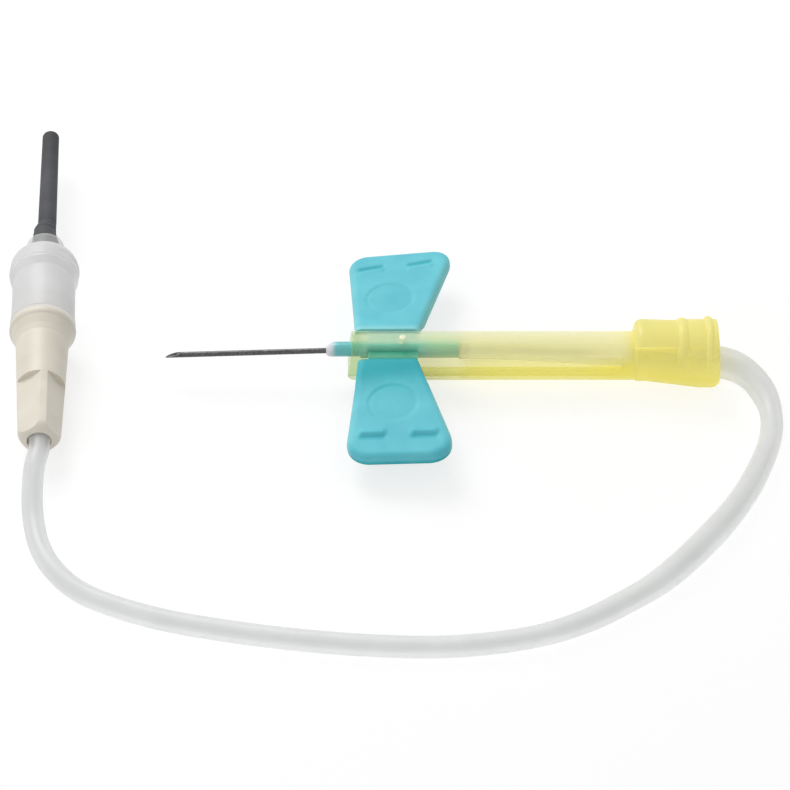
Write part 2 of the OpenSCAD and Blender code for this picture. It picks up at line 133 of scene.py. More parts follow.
def add_bump(tree, shader, height, strength, distance):
    bump = tree.nodes.new("ShaderNodeBump")
    bump.inputs["Strength"].default_value = strength
    bump.inputs["Distance"].default_value = distance
    tree.links.new(height, bump.inputs["Height"])
    tree.links.new(bump.outputs["Normal"], shader.inputs["Normal"])


def two_tone(tree, shader, factor, dark, light):
    """The base colour wanders between two tones."""
    ramp = tree.nodes.new("ShaderNodeValToRGB")
    ramp.color_ramp.elements[0].position = 0.3
    ramp.color_ramp.elements[0].color = (*dark, 1)
    ramp.color_ramp.elements[1].position = 0.7
    ramp.color_ramp.elements[1].color = (*light, 1)
    tree.links.new(factor, ramp.inputs["Fac"])
    tree.links.new(ramp.outputs["Color"], shader.inputs["Base Color"])


def linear(r, g, b):
    """A colour written as 0 to 255 display values, as linear light."""
    return tuple(((c / 255 + 0.055) / 1.055) ** 2.4 if c > 10 else c / 255 / 12.92 for c in (r, g, b))


def moulded(name, dark, light, roughness, grain=0.4 * MM, bump=0.15, specular=0.5):
    material, tree, shader = new_material(name)
    two_tone(tree, shader, noise(tree, 4 * MM), dark, light)
    shader.inputs["Roughness"].default_value = roughness
    shader.inputs["Specular IOR Level"].default_value = specular
    add_bump(tree, shader, noise(tree, grain), bump, 0.02 * MM)
    return material


def ramp_along(tree, axis, low, high, start=0, finish=1):
    """A value that goes smoothly from start to finish between two places along an axis of the frame."""
    place = tree.nodes.new("ShaderNodeTexCoord")
    split = tree.nodes.new("ShaderNodeSeparateXYZ")
    tree.links.new(place.outputs["Object"], split.inputs[0])
    ramp = tree.nodes.new("ShaderNodeMapRange")
    ramp.interpolation_type = "SMOOTHSTEP"
    ramp.inputs["From Min"].default_value = low
    ramp.inputs["From Max"].default_value = high
    ramp.inputs["To Min"].default_value = start
    ramp.inputs["To Max"].default_value = finish
    tree.links.new(split.outputs[axis], ramp.inputs["Value"])
    return ramp.outputs["Result"]


def mixed_colour(tree, share, first, second, blend="MIX"):
    """Two colours mixed by share. Each is a plain colour or a socket."""
    mix = tree.nodes.new("ShaderNodeMix")
    mix.data_type = "RGBA"
    mix.blend_type = blend
    for name, colour in (("A", first), ("B", second)):
        if isinstance(colour, bpy.types.NodeSocket):
            tree.links.new(colour, mix.inputs[name])
        else:
            mix.inputs[name].default_value = (*colour, 1)
    tree.links.new(share, mix.inputs["Factor"])
    return mix.outputs["Result"]


# The share of a lamp's light that each surface of a see-through piece lets by
LAMPS_THROUGH = 0.9


def calculated(tree, operation, first, second):
    node = tree.nodes.new("ShaderNodeMath")
    node.operation = operation
    for value, socket in zip((first, second), node.inputs):
        if isinstance(value, bpy.types.NodeSocket):
            tree.links.new(value, socket)
        else:
            socket.default_value = value
    return node.outputs[0]


def coloured(shader, colour):
    """Gives a shader a plain colour or a socket's."""
    if isinstance(colour, bpy.types.NodeSocket):
        shader.id_data.links.new(colour, shader.inputs["Color"])
    else:
        shader.inputs["Color"].default_value = (*colour, 1)


def let_through(material, glow, tint, face_on, edge_on, strength=1.0):
    """Half of the body's light comes through from its other side, in the colour glow. What is behind it shows too,
    tinted: a share face_on of it at right angles and edge_on at a grazing look, times strength."""
    tree = material.node_tree
    soft = tree.nodes.new("ShaderNodeBsdfTranslucent")
    coloured(soft, glow)
    body = tree.nodes.new("ShaderNodeMixShader")
    tree.links.new(tree.nodes["Principled BSDF"].outputs[0], body.inputs[1])
    tree.links.new(soft.outputs[0], body.inputs[2])
    clear = tree.nodes.new("ShaderNodeBsdfTransparent")
    coloured(clear, tint)
    facing = tree.nodes.new("ShaderNodeLayerWeight")
    facing.inputs["Blend"].default_value = 0.35
    share = tree.nodes.new("ShaderNodeMapRange")
    share.inputs["To Min"].default_value = face_on
    share.inputs["To Max"].default_value = edge_on
    tree.links.new(facing.outputs["Facing"], share.inputs["Value"])
    seen = calculated(tree, "MULTIPLY", share.outputs["Result"], strength)
    path = tree.nodes.new("ShaderNodeLightPath")
    lit = calculated(tree, "MULTIPLY", path.outputs["Is Shadow Ray"], LAMPS_THROUGH)
    mix = tree.nodes.new("ShaderNodeMixShader")
    tree.links.new(calculated(tree, "MAXIMUM", seen, lit), mix.inputs["Fac"])
    tree.links.new(body.outputs[0], mix.inputs[1])
    tree.links.new(clear.outputs[0], mix.inputs[2])
    tree.links.new(mix.outputs[0], tree.nodes["Material Output"].inputs["Surface"])


# A wing's mesh holds in this attribute the shade painted at each point, from 0 to 1,
# and the light painted there, from 0 to -1
SHADE_AND_LIGHT_ATTRIBUTE = "painted_shade_and_light"


def make_wing_plastic():
    material = moulded("wing_plastic", linear(90, 194, 210), linear(106, 207, 220), 0.5, specular=0.3)
    tree = material.node_tree
    shader = tree.nodes["Principled BSDF"]
    plain = shader.inputs["Base Color"].links[0].from_socket
    shade_and_light = tree.nodes.new("ShaderNodeAttribute")
    shade_and_light.attribute_name = SHADE_AND_LIGHT_ATTRIBUTE
    # Painted light: negative values turn the blue paler
    painted_light = calculated(tree, "MULTIPLY", shade_and_light.outputs["Fac"], -1)
    shaded = mixed_colour(tree, painted_light, plain, linear(150, 222, 228))
    # Painted shade: positive values darken the blue
    shaded = mixed_colour(tree, shade_and_light.outputs["Fac"], shaded, (0.2, 0.74, 0.72), "MULTIPLY")
    tree.links.new(shaded, shader.inputs["Base Color"])
    return material


wing_plastic = make_wing_plastic()
cream_plastic = moulded("cream_plastic", linear(222, 214, 199), linear(232, 226, 212), 0.45)
rubber = moulded("rubber", linear(66, 67, 70), linear(82, 83, 86), 0.7, grain=0.3 * MM, bump=0.3, specular=0.3)

# The hub has painted shade on its webs, most on the -Y side, and is paler at its rear end, where the tubing goes in
WEB_X = (-9.0 * MM, -8.3 * MM, -3.1 * MM, -2.5 * MM)
WEB_SHADE_FROM = 0.8 * MM
WEB_SHADE_TO = 1.5 * MM
NEAR_WEB_SHADE_FROM = -1.0 * MM
NEAR_WEB_SHADE_TO = -0.2 * MM
HUB_PALE_FROM = -3 * MM
HUB_PALE_TO = -0.5 * MM


def along_webs(tree):
    return calculated(tree, "MULTIPLY", ramp_along(tree, "X", *WEB_X[:2]), ramp_along(tree, "X", *WEB_X[2:], 1, 0))


def make_hub_plastic():
    material = moulded("hub_plastic", linear(84, 186, 196), linear(98, 198, 206), 0.35, specular=0.4)
    tree = material.node_tree
    shader = tree.nodes["Principled BSDF"]
    colour = shader.inputs["Base Color"].links[0].from_socket
    rear = ramp_along(tree, "X", HUB_PALE_FROM, HUB_PALE_TO)
    colour = mixed_colour(tree, rear, colour, linear(134, 200, 184))
    # Painted shade on the +Y web
    colour = mixed_colour(tree, ramp_along(tree, "Y", WEB_SHADE_FROM, WEB_SHADE_TO), colour, (0.3, 0.72, 0.8), "MULTIPLY")
    # Painted shade on the -Y side along the webs
    near = calculated(tree, "MULTIPLY", along_webs(tree), ramp_along(tree, "Y", NEAR_WEB_SHADE_FROM, NEAR_WEB_SHADE_TO, 1, 0))
    colour = mixed_colour(tree, near, colour, (0.02, 0.68, 0.58), "MULTIPLY")
    tree.links.new(colour, shader.inputs["Base Color"])
    return material


hub_plastic = make_hub_plastic()

# The shield looks deeper yellow low down, where light has come further through it, and paler high up, partly
# painted light on its lit top;
# its thin front lip has a painted greenish glow from the blue wings, and it is denser along its top, a painted
# highlight, and towards its thick rear end
SHIELD_DEEP_BELOW = 4.2 * MM
SHIELD_PALE_ABOVE = 5.6 * MM
SHIELD_TOP_HIGHLIGHT = (6.2 * MM, 6.42 * MM)
SHIELD_HIGHLIGHT_STRENGTH = 0.35
SHIELD_MIDDLE = (1.6 * MM, 3.6 * MM)
SHIELD_MIDDLE_STRENGTH = 0.78
SHIELD_REAR = (15 * MM, 22.5 * MM)
SHIELD_REAR_STRENGTH = 0.42
SHIELD_LIP_GLOW = (-9.9 * MM, -8.8 * MM)
# The wall beside the hub's webs is the clearest
SHIELD_SIDE = (5.85 * MM, 6.1 * MM)
SHIELD_SIDE_GAIN = 1.12
COLLAR_FROM = 20.5 * MM
COLLAR_TO = 22.5 * MM
COLLAR_TOP = 8 * MM


def make_shield_plastic():
    material = moulded("shield_plastic", linear(232, 226, 150), linear(240, 234, 165), 0.3)
    tree = material.node_tree
    # Paler higher up on barrel and collar: partly painted light on the lit top
    barrel = calculated(tree, "MULTIPLY", ramp_along(tree, "Z", SHIELD_DEEP_BELOW, SHIELD_PALE_ABOVE),
                        ramp_along(tree, "X", COLLAR_FROM, COLLAR_TO, 1, 0))
    collar = calculated(tree, "MULTIPLY", ramp_along(tree, "Z", 0, COLLAR_TOP, 0, 0.32),
                        ramp_along(tree, "X", COLLAR_FROM, COLLAR_TO))
    height = calculated(tree, "ADD", barrel, collar)
    # Painted greenish glow from the blue wings on the thin front lip
    lip_glow = ramp_along(tree, "X", *SHIELD_LIP_GLOW, 1, 0)
    body = mixed_colour(tree, height, linear(245, 238, 150), linear(253, 251, 222))
    body = mixed_colour(tree, lip_glow, body, linear(222, 231, 192))
    tree.links.new(body, tree.nodes["Principled BSDF"].inputs["Base Color"])
    tint = mixed_colour(tree, height, (0.98, 0.97, 0.79), (0.99, 0.99, 0.925))
    tint = mixed_colour(tree, lip_glow, tint, (0.93, 0.975, 0.86))
    strength = calculated(tree, "MULTIPLY", ramp_along(tree, "X", *SHIELD_MIDDLE, 1, SHIELD_MIDDLE_STRENGTH),
                          ramp_along(tree, "X", *SHIELD_REAR, 1, SHIELD_REAR_STRENGTH))
    # Painted highlight: the barrel's top lets less through, so its pale body shows
    strength = calculated(tree, "MULTIPLY", strength, ramp_along(tree, "Z", *SHIELD_TOP_HIGHLIGHT, 1, SHIELD_HIGHLIGHT_STRENGTH))
    side = calculated(tree, "MULTIPLY", along_webs(tree), ramp_along(tree, "Z", *SHIELD_SIDE, 1, 0))
    gain = tree.nodes.new("ShaderNodeMapRange")
    gain.inputs["To Min"].default_value = 1
    gain.inputs["To Max"].default_value = SHIELD_SIDE_GAIN
    tree.links.new(side, gain.inputs["Value"])
    strength = calculated(tree, "MULTIPLY", strength, gain.outputs["Result"])
    let_through(material, body, tint, 0.85, 0.5, strength)
    return material


# The nose glue is a clear drop whose rear shows the blue hub below it
GLUE_PALE_TO = -13.05 * MM
GLUE_BLUE_FROM = -12.1 * MM


def make_nose_glue():
    material = moulded("nose_glue", linear(205, 200, 208), linear(222, 218, 226), 0.2)
    tree = material.node_tree
    shader = tree.nodes["Principled BSDF"]
    share = ramp_along(tree, "X", GLUE_PALE_TO, GLUE_BLUE_FROM)
    colour = mixed_colour(tree, share, linear(228, 228, 232), linear(108, 198, 202))
    tree.links.new(colour, shader.inputs["Base Color"])
    return material


# The adapter is clear at the ring under the sleeve, and frosted from its dome on
ADAPTER_FROSTED_TO = 15.8 * MM
ADAPTER_CLEAR_FROM = 16.6 * MM
FROSTED_STRENGTH = 0.06


def make_adapter_plastic():
    material = moulded("adapter_plastic", linear(224, 224, 224), linear(234, 234, 234), 0.35)
    strength = ramp_along(material.node_tree, "Y", ADAPTER_FROSTED_TO, ADAPTER_CLEAR_FROM, FROSTED_STRENGTH, 1)
    let_through(material, linear(236, 236, 236), (0.98, 0.98, 0.98), 0.75, 0.4, strength)
    return material


# The tubing has painted yellow light where it lies inside the shield, for the light that reaches it through the
# shield's yellow walls
TUBE_YELLOW_LIGHT_X = (-20 * MM, -15 * MM, 20 * MM, 23 * MM)
TUBE_YELLOW_LIGHT_Y = (-8 * MM, -6 * MM)
TUBE_YELLOW_LIGHT_SHARE = 0.3


def make_tube_plastic():
    material = moulded("tube_plastic", linear(222, 223, 222), linear(235, 236, 235), 0.2)
    tree = material.node_tree
    shader = tree.nodes["Principled BSDF"]
    # Painted yellow light on the tubing inside the shield
    yellow_light = calculated(tree, "MULTIPLY", ramp_along(tree, "X", *TUBE_YELLOW_LIGHT_X[:2]),
                        ramp_along(tree, "X", *TUBE_YELLOW_LIGHT_X[2:], TUBE_YELLOW_LIGHT_SHARE, 0))
    yellow_light = calculated(tree, "MULTIPLY", yellow_light, ramp_along(tree, "Y", *TUBE_YELLOW_LIGHT_Y))
    plain = shader.inputs["Base Color"].links[0].from_socket
    tree.links.new(mixed_colour(tree, yellow_light, plain, linear(244, 238, 150)), shader.inputs["Base Color"])
    glow = mixed_colour(tree, yellow_light, linear(240, 241, 241), linear(246, 240, 150))
    let_through(material, glow, (0.985, 0.985, 0.985), 0.45, 0.2)
    return material


shield_plastic = make_shield_plastic()
gate_plastic = moulded("gate_plastic", linear(236, 240, 205), linear(244, 247, 215), 0.3)
adapter_plastic = make_adapter_plastic()
tube_plastic = make_tube_plastic()
nose_glue = make_nose_glue()
cup_glue = moulded("cup_glue", linear(205, 200, 208), linear(222, 218, 226), 0.2)


def brushed_steel():
    material, tree, shader = new_material("steel")
    two_tone(tree, shader, noise(tree, 0.3 * MM), (0.065, 0.065, 0.068), (0.13, 0.13, 0.135))
    shader.inputs["Metallic"].default_value = 1
    shader.inputs["Roughness"].default_value = 0.3
    add_bump(tree, shader, noise(tree, 0.1 * MM), 0.1, 0.01 * MM)
    return material


steel = brushed_steel()

FINISHES = {
    "needle_cannula": steel,
    "hub": hub_plastic,
    "safety_shield": shield_plastic,
    "luer_hub": cream_plastic,
    "luer_adapter": adapter_plastic,
    "rear_cannula": steel,
    "rear_adhesive": cup_glue,
}
for name, material in FINISHES.items():
    for slot in nodes[name].material_slots:
        slot.material = material


# Tubing: the route runs from the hub, out of the shield, along the floor, to the luer hub
ROUTE = [
    (1.85, 0, 4.7), (3.85, 0, 4.7), (7, 0, 4.6), (11, 0, 4.4), (15, 0, 4.1), (19, 0, 3.8), (23, 0, 3.5),
    (26, 0.1, 3.2), (29, -0.1, 2.9), (32, 0, 2.6), (34.3, -0.65, 2.2), (36.1, -2.4, 1.8),
    (37.2, -5, 1.4), (37.5, -8, 1.2), (37, -11.5, 1.2), (35.7, -15.3, 1.2), (33.7, -19.65, 1.2),
    (30.7, -24.55, 1.2), (26.85, -29.5, 1.2), (23.05, -33.5, 1.2), (19, -36.5, 1.2), (15, -39, 1.2),
    (10.5, -40.9, 1.2), (5.3, -42.1, 1.2), (-0.5, -42.7, 1.2), (-6.5, -42.6, 1.2),
    (-12.5, -42.1, 1.2), (-18.5, -41.3, 1.2), (-24.5, -40.2, 1.2), (-30, -38.9, 1.2),
    (-35, -37.1, 1.2), (-39, -35, 1.2), (-42, -32, 1.2), (-44, -28.5, 1.3), (-45.1, -24.5, 1.6),
    (-45.5, -21, 2.3), (-45.5, -17.8, 3.1), (-45.2, -15.1, 3.4), (-45.4, -13.1, 3.5), (-45.7, -8.1, 3.6),
]
TUBE_D = 2.4 * MM
TUBE_BORE_SHARE = 0.5
TUBE_SIDES = 28
TUBE_STEP = 0.5 * MM
# The soft tubing is widest where it leaves the shield and a little pressed flat before the long bend:
# distance along it in mm, and its share of the usual width there
TUBE_WIDTHS = ((0, 1), (20, 1.1), (27, 1.6), (31, 1.54), (36, 1.3), (41, 1.07), (46, 1.08), (54, 1.17),
               (62, 1.26), (68, 1.24), (76, 1.1), (88, 1), (170, 0.98))


def tube_width(run):
    for (before, first), (after, second) in zip(TUBE_WIDTHS, TUBE_WIDTHS[1:]):
        if run <= after * MM:
            return first + (second - first) * smoothstep(before * MM, after * MM, run)
    return TUBE_WIDTHS[-1][1]


def make_tube():
    line = catmull_rom([Vector(p) * MM for p in ROUTE], TUBE_STEP)
    frames = ring_frames(line)
    points = []
    run = 0
    for i, (centre, (side, up)) in enumerate(zip(line, frames)):
        run += (centre - line[max(i - 1, 0)]).length
        outer = TUBE_D / 2 * tube_width(run)
        lift = Vector((0, 0, max(outer - centre.z, 0)))
        for radius in (outer, outer * TUBE_BORE_SHARE):
            for k in range(TUBE_SIDES):
                a = 2 * math.pi * k / TUBE_SIDES
                points.append(centre + lift + radius * (math.cos(a) * side + math.sin(a) * up))
    faces = []
    ring = 2 * TUBE_SIDES
    for i in range(len(line) - 1):
        for k in range(TUBE_SIDES):
            a, b = i * ring + k, i * ring + (k + 1) % TUBE_SIDES
            faces.append((a, b, b + ring, a + ring))
            a, b = a + TUBE_SIDES, b + TUBE_SIDES
            faces.append((b, a, a + ring, b + ring))
    last = (len(line) - 1) * ring
    for k in range(TUBE_SIDES):
        a, b = k, (k + 1) % TUBE_SIDES
        faces.append((b, a, a + TUBE_SIDES, b + TUBE_SIDES))
        faces.append((last + a, last + b, last + b + TUBE_SIDES, last + a + TUBE_SIDES))
    tube = mesh_object("tubing_soft", points, faces)
    tube.data.materials.append(tube_plastic)
    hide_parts("tubing")
    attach(tube, "hub")
    return tube, line


tubing, tube_line = make_tube()


# Wings. Each is a soft plate, worked out in a flat frame: x along the fold, y out from it, z up, all in mm.
WEB_MIDDLE_X = -5.70
FOLD_Y = 3.4
FOLD_Z = 4.65
HUB_PITCH = math.radians(0.4)
WING_DROOP = math.radians(2.5)
WING_TWIST = math.radians(4)
WING_LENGTH = 14.01
WING_T = 1.7
WEB_T = 0.84
# The root rises a little against the shield
ROOT_RISE = 0.3
ROOT_RISE_BY_Y = 2.2
# The inner end hugs the shield's barrel; its lower edge lies further out than its upper one
INNER_TOP_Y = -0.88
INNER_BOTTOM_Y = -0.52
THICK_FROM_Y = 0.0
THICK_BY_Y = 1.5
# Where the front and rear edges lie at the inner end and at the tip
FRONT_EDGE = {1: (-4.4, -5.45), -1: (-4.05, -5.45)}
REAR_EDGE = (3.0, 7.5)
TIP_SLANT = math.tan(math.radians(2))
FRONT_TIP_R = {1: 2.4, -1: 2.8}
REAR_TIP_R = {1: 2.8, -1: 3.6}
TOP_EDGE_R = 0.75
BOTTOM_EDGE_R = 0.5
# Distances from an edge at which the mesh has a line of points
EDGE_STEPS = (0, 0.02, 0.07, 0.15, 0.26, 0.4, 0.56, 0.75, 1.0)
FINE_STEP = 0.12
# Centres of the round panels; the two wings' marks don't lie quite alike
PANEL_AT = {1: (-0.35, 5.3), -1: (0, 5.75)}
PANEL_R = 2.72
PANEL_SINK = 0.05
PANEL_RIM_SINK = 0.06
# Middle of each grip bar, and how far it lies askew
BARS_AT = {1: ((-2.6, 11.28), (3.25, 11.55)), -1: ((-2.275, 11.05), (3.575, 11.05))}
BAR_SLOPE = {1: 0.15, -1: 0}
BAR_HALF = 1.75
# Each bar is a ridge, with a groove on its outer side
RIDGE_IN = 0.7
RIDGE_H = {1: 0.1, -1: 0.26}
GROOVE_SINK = 0.17
# Painted shade at the near wing's root, darker inside the panels, painted shade on the panels' rims, in the grooves
# and below the near wing's edges; painted light below the far wing's edges, at its root and along the side edges
ROOT_PAINTED_SHADE = 1
ROOT_SHADE_TO = -0.2
ROOT_SHADE_FADE = 6.6
PANEL_DARKENING = 0.16
PANEL_RIM_PAINTED_SHADE = 0.3
GROOVE_PAINTED_SHADE = {1: 0.75, -1: 0.45}
UNDER_PAINTED_SHADE_AND_LIGHT = {1: -0.5, -1: 1}
FAR_ROOT_PAINTED_LIGHT = 0.8
FAR_ROOT_LIGHT_TO = 0.3
EDGE_PAINTED_HIGHLIGHT = 0.5
EDGE_HIGHLIGHT_TO = 0.9


def bell(x, width):
    """One at x = 0, and falling softly to zero at about width from it."""
    return math.exp(-(2 * x / width) ** 2 / 2)


def edge_x(ends, y):
    t = (y - INNER_TOP_Y) / (WING_LENGTH - INNER_TOP_Y)
    return ends[0] + (ends[1] - ends[0]) * t


def corner_cut(radius, to_tip):
    """How far a rounded tip corner moves the side edge in, at a distance to_tip from the tip."""
    if to_tip >= radius:
        return 0
    return radius - math.sqrt(max(radius ** 2 - (radius - to_tip) ** 2, 0))


def edge_distance(x, y, side_of_hub):
    """Distance of a point of the plate from the nearest side or tip edge."""
    front = x - edge_x(FRONT_EDGE[side_of_hub], y)
    rear = edge_x(REAR_EDGE, y) - x
    tip = WING_LENGTH - y
    for side, radius in ((front, FRONT_TIP_R[side_of_hub]), (rear, REAR_TIP_R[side_of_hub])):
        if side < radius and tip < radius:
            return max(radius - math.hypot(radius - side, radius - tip), 0)
    return max(min(front, rear, tip), 0)


def rounded_drop(distance, radius):
    """How far a rounded edge lies below the flat at a distance in from the rim."""
    if distance >= radius:
        return 0
    return radius - math.sqrt(radius ** 2 - (radius - distance) ** 2)


def along_bar(x, bar_x):
    return 1 - smoothstep(BAR_HALF - 0.6, BAR_HALF, abs(x - bar_x))


def wing_relief(x, y, side):
    """Height of the grip bars, their grooves, the round panel and the root's rise over the plain top."""
    height = 0
    for bar_x, bar_y in BARS_AT[side]:
        out = y - bar_y - BAR_SLOPE[side] * (x - bar_x)
        height += RIDGE_H[side] * bell(out + RIDGE_IN, 0.6) * along_bar(x, bar_x)
        height -= GROOVE_SINK * bell(out, 0.4) * along_bar(x, bar_x)
    panel_x, panel_y = PANEL_AT[side]
    off = math.hypot(x - panel_x, y - panel_y)
    height -= PANEL_SINK * (1 - smoothstep(PANEL_R - 0.25, PANEL_R, off))
    height -= PANEL_RIM_SINK * bell(off - PANEL_R, 0.3)
    return height + ROOT_RISE * (1 - smoothstep(INNER_TOP_Y, ROOT_RISE_BY_Y, y))


def wing_shade_and_light(x, y, side):
    """Shade painted on the top of a wing, with painted light as negative values."""
    panel_x, panel_y = PANEL_AT[side]
    off = math.hypot(x - panel_x, y - panel_y)
    # Darker inside the round panel
    shade_and_light = PANEL_DARKENING * (1 - smoothstep(PANEL_R - 0.6, PANEL_R, off))
    # Painted shade on the half of the panel's rim towards +Y, which light from behind leaves dark
    far_half = smoothstep(-0.3, 0.8, side * (y - panel_y) / PANEL_R)
    shade_and_light += PANEL_RIM_PAINTED_SHADE * far_half * bell(off - PANEL_R, 0.35)
    # Painted shade in the bars' grooves
    for bar_x, bar_y in BARS_AT[side]:
        out = y - bar_y - BAR_SLOPE[side] * (x - bar_x)
        shade_and_light += GROOVE_PAINTED_SHADE[side] * bell(out, 0.55) * along_bar(x, bar_x)
    if side < 0:
        # Painted shade at the near wing's root, where the shield shades it
        shade_and_light += ROOT_PAINTED_SHADE * (1 - smoothstep(ROOT_SHADE_TO, ROOT_SHADE_FADE, y))
    else:
        # Painted light at the far wing's root, over its end face in shade
        shade_and_light -= FAR_ROOT_PAINTED_LIGHT * (1 - smoothstep(INNER_TOP_Y, FAR_ROOT_LIGHT_TO, y))
    # Painted highlight along the front and rear edges
    to_edge = min(x - edge_x(FRONT_EDGE[side], y), edge_x(REAR_EDGE, y) - x)
    shade_and_light -= EDGE_PAINTED_HIGHLIGHT * (1 - smoothstep(0, EDGE_HIGHLIGHT_TO, to_edge))
    return min(shade_and_light, 1)


def wing_rows():
    last = [WING_LENGTH - s for s in reversed(EDGE_STEPS)]
    count = round((last[0] - INNER_TOP_Y) / FINE_STEP)
    return [INNER_TOP_Y + (last[0] - INNER_TOP_Y) * i / count for i in range(count)] + last


def wing_columns(y, count, side):
    to_tip = WING_LENGTH - y
    front = edge_x(FRONT_EDGE[side], y) + corner_cut(FRONT_TIP_R[side], to_tip)
    rear = edge_x(REAR_EDGE, y) - corner_cut(REAR_TIP_R[side], to_tip)
    margin = EDGE_STEPS[-1]
    inner = [front + margin + (rear - front - 2 * margin) * i / count for i in range(1, count)]
    return [front + s for s in EDGE_STEPS] + inner + [rear - s for s in reversed(EDGE_STEPS)]


def place_on_wing(x, y, z, side):
    """A point of the flat frame, in the place where the wing has it at rest."""
    y += TIP_SLANT * x * smoothstep(0, WING_LENGTH, y)
    twist = WING_TWIST * smoothstep(0.2, 3, y)
    x, z = x * math.cos(twist) - z * math.sin(twist), z * math.cos(twist) + x * math.sin(twist)
    y, z = y * math.cos(WING_DROOP) + z * math.sin(WING_DROOP), z * math.cos(WING_DROOP) - y * math.sin(WING_DROOP)
    x, z = x * math.cos(HUB_PITCH) - z * math.sin(HUB_PITCH), z * math.cos(HUB_PITCH) + x * math.sin(HUB_PITCH)
    return Vector((WEB_MIDDLE_X + x, side * (FOLD_Y + y), FOLD_Z + z)) * MM


def make_wing(name, side):
    rows = wing_rows()
    width = edge_x(REAR_EDGE, WING_LENGTH / 2) - edge_x(FRONT_EDGE[side], WING_LENGTH / 2)
    columns = round(width / FINE_STEP)
    grid = [[(x, y) for x in wing_columns(y, columns, side)] for y in rows]
    wide = len(grid[0])
    top = WEB_T / 2
    points = []
    shade_and_light = []
    for row in grid:
        for x, y in row:
            z = top + wing_relief(x, y, side) - rounded_drop(edge_distance(x, y, side), TOP_EDGE_R)
            points.append(place_on_wing(x, y, z, side))
            shade_and_light.append(wing_shade_and_light(x, y, side))
    for row in grid:
        for x, y in row:
            y = max(y, INNER_BOTTOM_Y)
            thickness = WEB_T + (WING_T - WEB_T) * smoothstep(THICK_FROM_Y, THICK_BY_Y, y)
            radius = min(BOTTOM_EDGE_R, thickness - TOP_EDGE_R) if thickness > TOP_EDGE_R else 0.02
            z = top - thickness + rounded_drop(edge_distance(x, y, side), radius)
            points.append(place_on_wing(x, y, z, side))
            # Below the edges: painted shade on the near wing, painted light on the far one
            shade_and_light.append(UNDER_PAINTED_SHADE_AND_LIGHT[side])
    below = len(grid) * wide
    faces = []
    for i in range(len(grid) - 1):
        for j in range(wide - 1):
            a = i * wide + j
            faces.append((a, a + 1, a + 1 + wide, a + wide))
            faces.append((below + a, below + a + wide, below + a + 1 + wide, below + a + 1))
    rim = [j for j in range(wide)]
    rim += [i * wide + wide - 1 for i in range(1, len(grid))]
    rim += [(len(grid) - 1) * wide + j for j in range(wide - 2, -1, -1)]
    rim += [i * wide for i in range(len(grid) - 2, 0, -1)]
    for a, b in zip(rim, rim[1:] + rim[:1]):
        faces.append((b, a, a + below, b + below))
    if side < 0:
        faces = [face[::-1] for face in faces]
    wing = mesh_object(name + "_soft", points, faces)
    wing.data.attributes.new(SHADE_AND_LIGHT_ATTRIBUTE, "FLOAT", "POINT").data.foreach_set("value", shade_and_light)
    wing.data.materials.append(wing_plastic)
    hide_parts(name)
    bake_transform(wing)
    return wing


make_wing("wing_left", 1)
make_wing("wing_right", -1)


# Turned pieces: rings of points about an axis, closed at both ends
def turned(name, rings, sides):
    """Each ring is its centre, its two directions and a function that gives its radius at an angle."""
    points = []
    for centre, (side, up), radius in rings:
        for k in range(sides):
            a = 2 * math.pi * k / sides
            points.append(centre + radius(a) * (math.cos(a) * side + math.sin(a) * up))
    faces = []
    for i in range(len(rings) - 1):
        for k in range(sides):
            a, b = i * sides + k, i * sides + (k + 1) % sides
            faces.append((a, b, b + sides, a + sides))
    faces.append(tuple(range(sides - 1, -1, -1)))
    faces.append(tuple((len(rings) - 1) * sides + k for k in range(sides)))
    return mesh_object(name, points, faces)


# Glue drop on the hub's nose: from the bare needle back over the edge of the nose
NEEDLE_PITCH = math.radians(2.2)
NEEDLE_PIVOT = Vector((-6.25, 0, 4.646))
GLUE_FRONT_X = -13.42
GLUE_REAR_X = -10.2
GLUE_FRONT_R = 0.34
GLUE_REAR_R = 0.87
# The drop reaches its full radius sooner below than above
GLUE_FULL_BELOW = 0.8
GLUE_FULL_ABOVE = 1.6


def glue_radius(x, angle):
    full = GLUE_FULL_BELOW + (GLUE_FULL_ABOVE - GLUE_FULL_BELOW) * (0.5 + 0.5 * math.sin(angle))
    t = min((x - GLUE_FRONT_X) / full, 1)
    return GLUE_FRONT_R + (GLUE_REAR_R - GLUE_FRONT_R) * math.sqrt(1 - (1 - t) ** 2)


def make_nose_drop():
    count = 32
    rings = []
    for i in range(count + 1):
        share = (i / count) ** 1.6
        x = GLUE_FRONT_X + (GLUE_REAR_X - GLUE_FRONT_X) * share
        needle_z = NEEDLE_PIVOT.z + (x - NEEDLE_PIVOT.x) * math.tan(NEEDLE_PITCH)
        hub_z = FOLD_Z + (x - WEB_MIDDLE_X) * math.tan(HUB_PITCH)
        t = min((x - GLUE_FRONT_X) / GLUE_FULL_BELOW, 1)
        centre = Vector((x, 0, needle_z + (hub_z - needle_z) * t))
        rings.append((centre * MM, (Vector((0, 1, 0)), Vector((0, 0, 1))), lambda a, x=x: glue_radius(x, a) * MM))
    drop = turned("needle_adhesive_drop", rings, 40)
    drop.data.materials.append(nose_glue)
    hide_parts("needle_adhesive")
    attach(drop, "hub")


make_nose_drop()


# Gate mark: a low round dot on the top of the barrel, where the shield was filled in its mould
GATE_X = -4.56
GATE_RINGS = ((6.3, 0.42), (6.44, 0.42), (6.475, 0.38), (6.495, 0.3), (6.505, 0.15))


def make_gate_mark():
    ways = (Vector((1, 0, 0)), Vector((0, 1, 0)))
    rings = [(Vector((GATE_X, 0, z)) * MM, ways, lambda a, r=radius: r * MM) for z, radius in GATE_RINGS]
    mark = turned("gate_mark", rings, 32)
    mark.data.materials.append(gate_plastic)
    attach(mark, "shield")


make_gate_mark()


